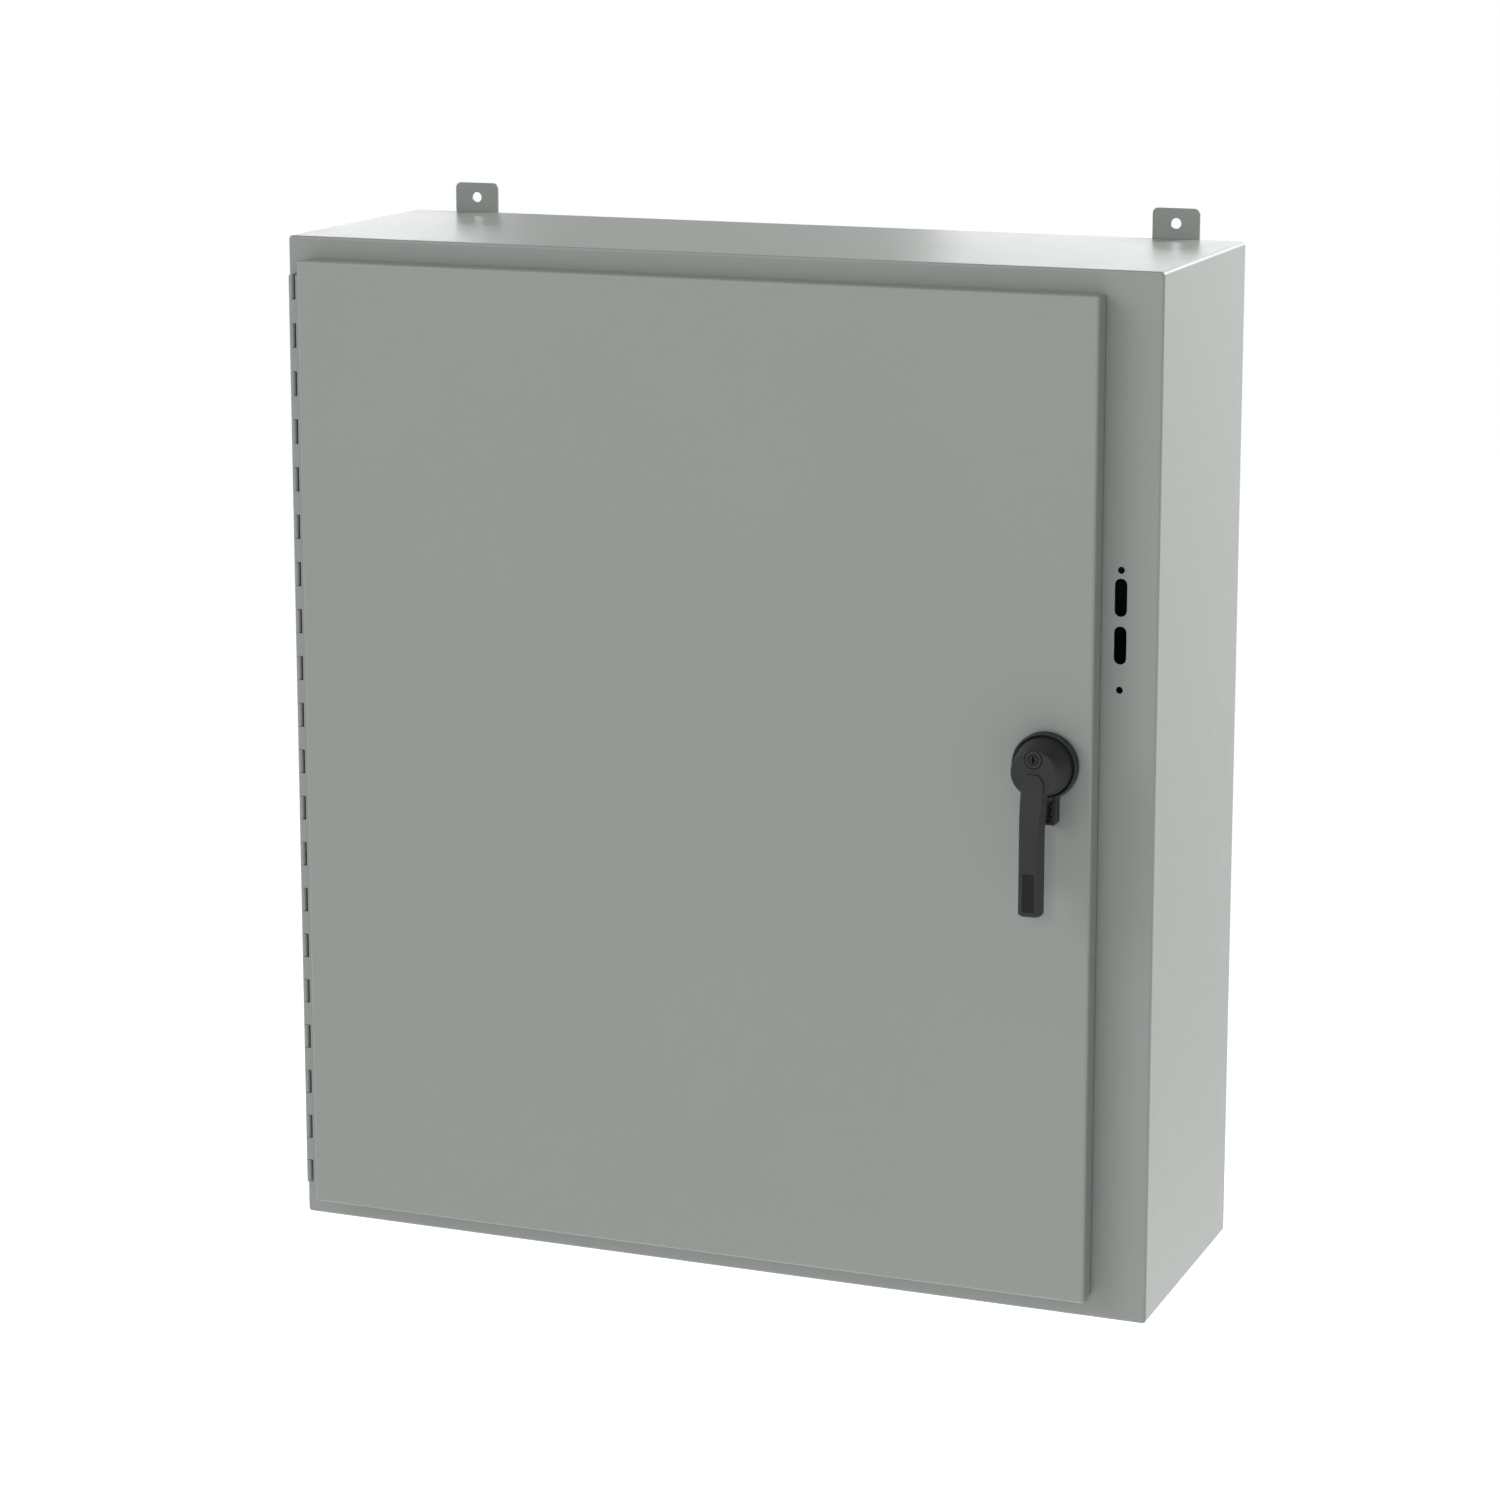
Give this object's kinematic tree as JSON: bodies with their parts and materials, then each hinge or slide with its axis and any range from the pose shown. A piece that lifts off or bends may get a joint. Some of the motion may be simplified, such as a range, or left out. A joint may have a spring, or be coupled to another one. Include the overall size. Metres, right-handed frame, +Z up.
{
  "type": "wall-mounted steel equipment cabinet",
  "caption": "Grey wall-mount steel cabinet: overlapping hinged door, black lever handle driving a roller latch, wall tabs, disconnect cut-out and inner back panel.",
  "frame": {"origin": "centre of the rectangle of the four wall-bolt holes, on the rear face of the wall tabs, which is the wall plane", "axes": "+X to the right as seen from the front, +Y back into the wall so the door faces -Y, +Z up"},
  "size_m": [0.9496, 0.3913, 1.1334],
  "materials": {
    "cabinet_paint": "semi-gloss grey powder coat, smooth with a faint orange peel",
    "panel_paint": "white semi-gloss enamel",
    "zinc_plate": "zinc-plated steel, satin",
    "handle_coat": "black fine-textured powder coat on a cast handle",
    "lock_metal": "dark plated lock plug",
    "seal_rubber": "black rubber, matt",
    "gasket_foam": "poured polyurethane foam, matt, slightly pitted",
    "nylon": "natural white nylon",
    "pocket_plastic": "dark grey thermoplastic, satin"
  },
  "bodies": {
    "cabinet": {"left_wall": "cabinet_paint", "right_wall": "cabinet_paint", "top_wall": "cabinet_paint", "bottom_wall": "cabinet_paint", "back_wall": "cabinet_paint", "mounting_tabs": "cabinet_paint", "hinge_body_leaf": "cabinet_paint", "hinge_pin": "zinc_plate", "back_panel": "panel_paint", "panel_studs": "zinc_plate", "panel_washers": "zinc_plate", "panel_nuts": "zinc_plate", "cabinet_ground_stud": "zinc_plate", "cabinet_ground_nut": "zinc_plate"},
    "door": {"door_panel": "cabinet_paint", "door_stiffeners": "cabinet_paint", "door_gasket": "gasket_foam", "hinge_door_leaf": "cabinet_paint", "document_pocket": "pocket_plastic", "pocket_rivets": "zinc_plate", "handle_escutcheon": "handle_coat", "escutcheon_seal": "seal_rubber", "escutcheon_screws": "zinc_plate", "shaft_bushing": "zinc_plate", "rod_guides": "zinc_plate", "door_ground_stud": "zinc_plate", "door_ground_nut": "zinc_plate"},
    "handle": {"handle_lever": "handle_coat", "lock_collar": "handle_coat", "handle_shaft": "zinc_plate", "shaft_clip": "zinc_plate", "latch_cam": "zinc_plate", "cam_screw": "zinc_plate", "cam_washer": "zinc_plate", "rod_pivots": "zinc_plate", "cam_roller_axle": "zinc_plate"},
    "key": {"key_plug": "lock_metal"},
    "cam_wheel": {"cam_roller": "nylon"},
    "upper_latch_rod": {"upper_rod": "zinc_plate", "upper_roller_axle": "zinc_plate"},
    "upper_wheel": {"upper_roller": "nylon"},
    "lower_latch_rod": {"lower_rod": "zinc_plate", "lower_roller_axle": "zinc_plate"},
    "lower_wheel": {"lower_roller": "nylon"}
  },
  "joints": [
    {"name": "door_hinge", "type": "hinge", "parent": "cabinet", "child": "door", "pos_m": [-0.46475, -0.3208, 0], "axis": [0, 0, -1], "range_deg": [0, 170]},
    {"name": "handle_turn", "type": "hinge", "parent": "door", "child": "handle", "pos_m": [0.37125, -0.3478, 0.045], "axis": [0, 1, 0], "range_deg": [0, 90]},
    {"name": "key_turn", "type": "hinge", "parent": "handle", "child": "key", "pos_m": [0.37125, -0.3808, 0.059], "axis": [0, 1, 0], "range_deg": [0, 90]},
    {"name": "cam_roller_spin", "type": "hinge", "parent": "handle", "child": "cam_wheel", "pos_m": [0.39935, -0.3006, 0.045], "axis": [1, 0, 0], "continuous": true},
    {"name": "upper_rod_pivot", "type": "hinge", "parent": "handle", "child": "upper_latch_rod", "pos_m": [0.37125, -0.2962, 0.064], "axis": [0, 1, 0], "range_deg": [-92.95, 0]},
    {"name": "lower_rod_pivot", "type": "hinge", "parent": "handle", "child": "lower_latch_rod", "pos_m": [0.37125, -0.2962, 0.026], "axis": [0, 1, 0], "range_deg": [-92.41, 0]},
    {"name": "upper_roller_spin", "type": "hinge", "parent": "upper_latch_rod", "child": "upper_wheel", "pos_m": [0.37125, -0.2996, 0.4939], "axis": [1, 0, 0], "continuous": true},
    {"name": "lower_roller_spin", "type": "hinge", "parent": "lower_latch_rod", "child": "lower_wheel", "pos_m": [0.37125, -0.2996, -0.4939], "axis": [1, 0, 0], "continuous": true}
  ],
  "couplings": [
    {"joint": "upper_rod_pivot", "follows": "handle_turn", "ratio": -1.0317},
    {"joint": "lower_rod_pivot", "follows": "handle_turn", "ratio": -1.0257}
  ]
}
